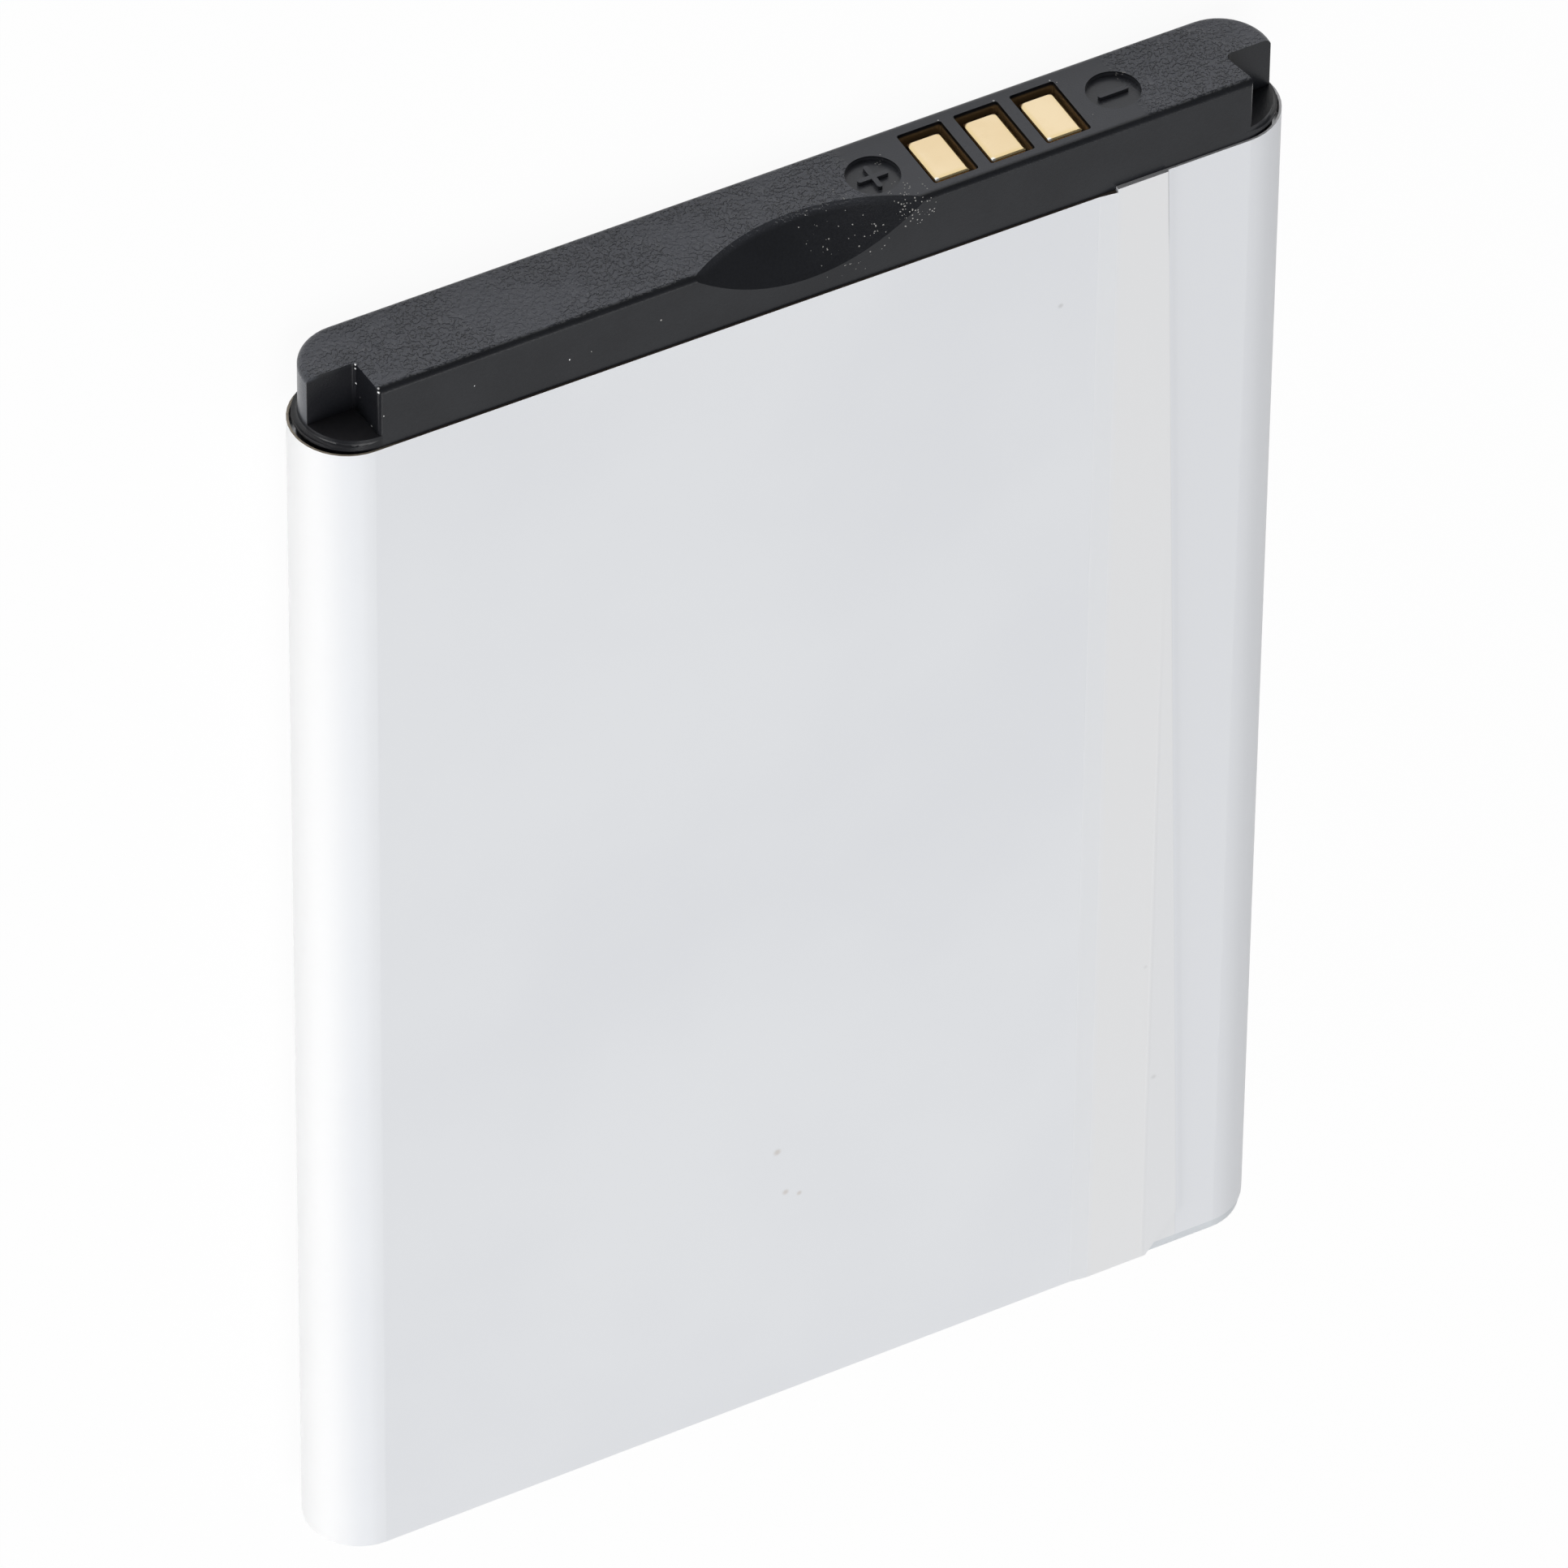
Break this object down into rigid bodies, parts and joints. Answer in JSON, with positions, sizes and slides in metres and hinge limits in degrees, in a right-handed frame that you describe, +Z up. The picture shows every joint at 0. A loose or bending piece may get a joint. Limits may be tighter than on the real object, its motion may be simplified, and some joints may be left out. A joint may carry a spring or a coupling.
{
  "type": "mobile phone battery",
  "caption": "Removable lithium-ion phone battery: flat cell in a white wrap label with a black moulded cap, contacts in windows, finger scoop and key notches.",
  "frame": {"origin": "under the middle of the battery, on the surface it lies on", "axes": "+Z up out of the front with the finger scoop and the label's seam, -Y the cap's end with the contacts, which are at the -X side"},
  "size_m": [0.044, 0.064, 0.0049],
  "materials": {
    "can_aluminium": "drawn, satin",
    "gasket_plastic": "satin",
    "nickel": "rolled nickel",
    "insulator_sheet": "matt paper",
    "chip_black": "matt moulded",
    "board_green": "solder mask",
    "chip_brown": "ceramic",
    "gold_plate": "gold plated, polished",
    "cap_plastic": "fine spark-eroded on top, satin on the sides",
    "adhesive": "matt",
    "base_plastic": "satin",
    "label_film": "glossy film"
  },
  "bodies": {
    "root": {"cell_can": "can_aluminium", "fill_plug": "can_aluminium", "rivet_gasket": "gasket_plastic", "negative_rivet": "nickel", "lid_insulator": "insulator_sheet", "clad_plate": "nickel", "positive_tab": "nickel", "negative_lead": "nickel", "thermal_fuse": "chip_black", "board_lead": "nickel", "weld_pads": "nickel", "circuit_board": "board_green", "protection_chip": "chip_black", "switch_transistor": "chip_black", "capacitors": "chip_brown", "resistors": "chip_black", "thermistor": "chip_brown", "contact_positive": "gold_plate", "contact_sense": "gold_plate", "contact_negative": "gold_plate", "top_cap": "cap_plastic", "cap_tape": "adhesive", "base_tape": "adhesive", "base_cover": "base_plastic", "label": "label_film"}
  },
  "joints": []
}
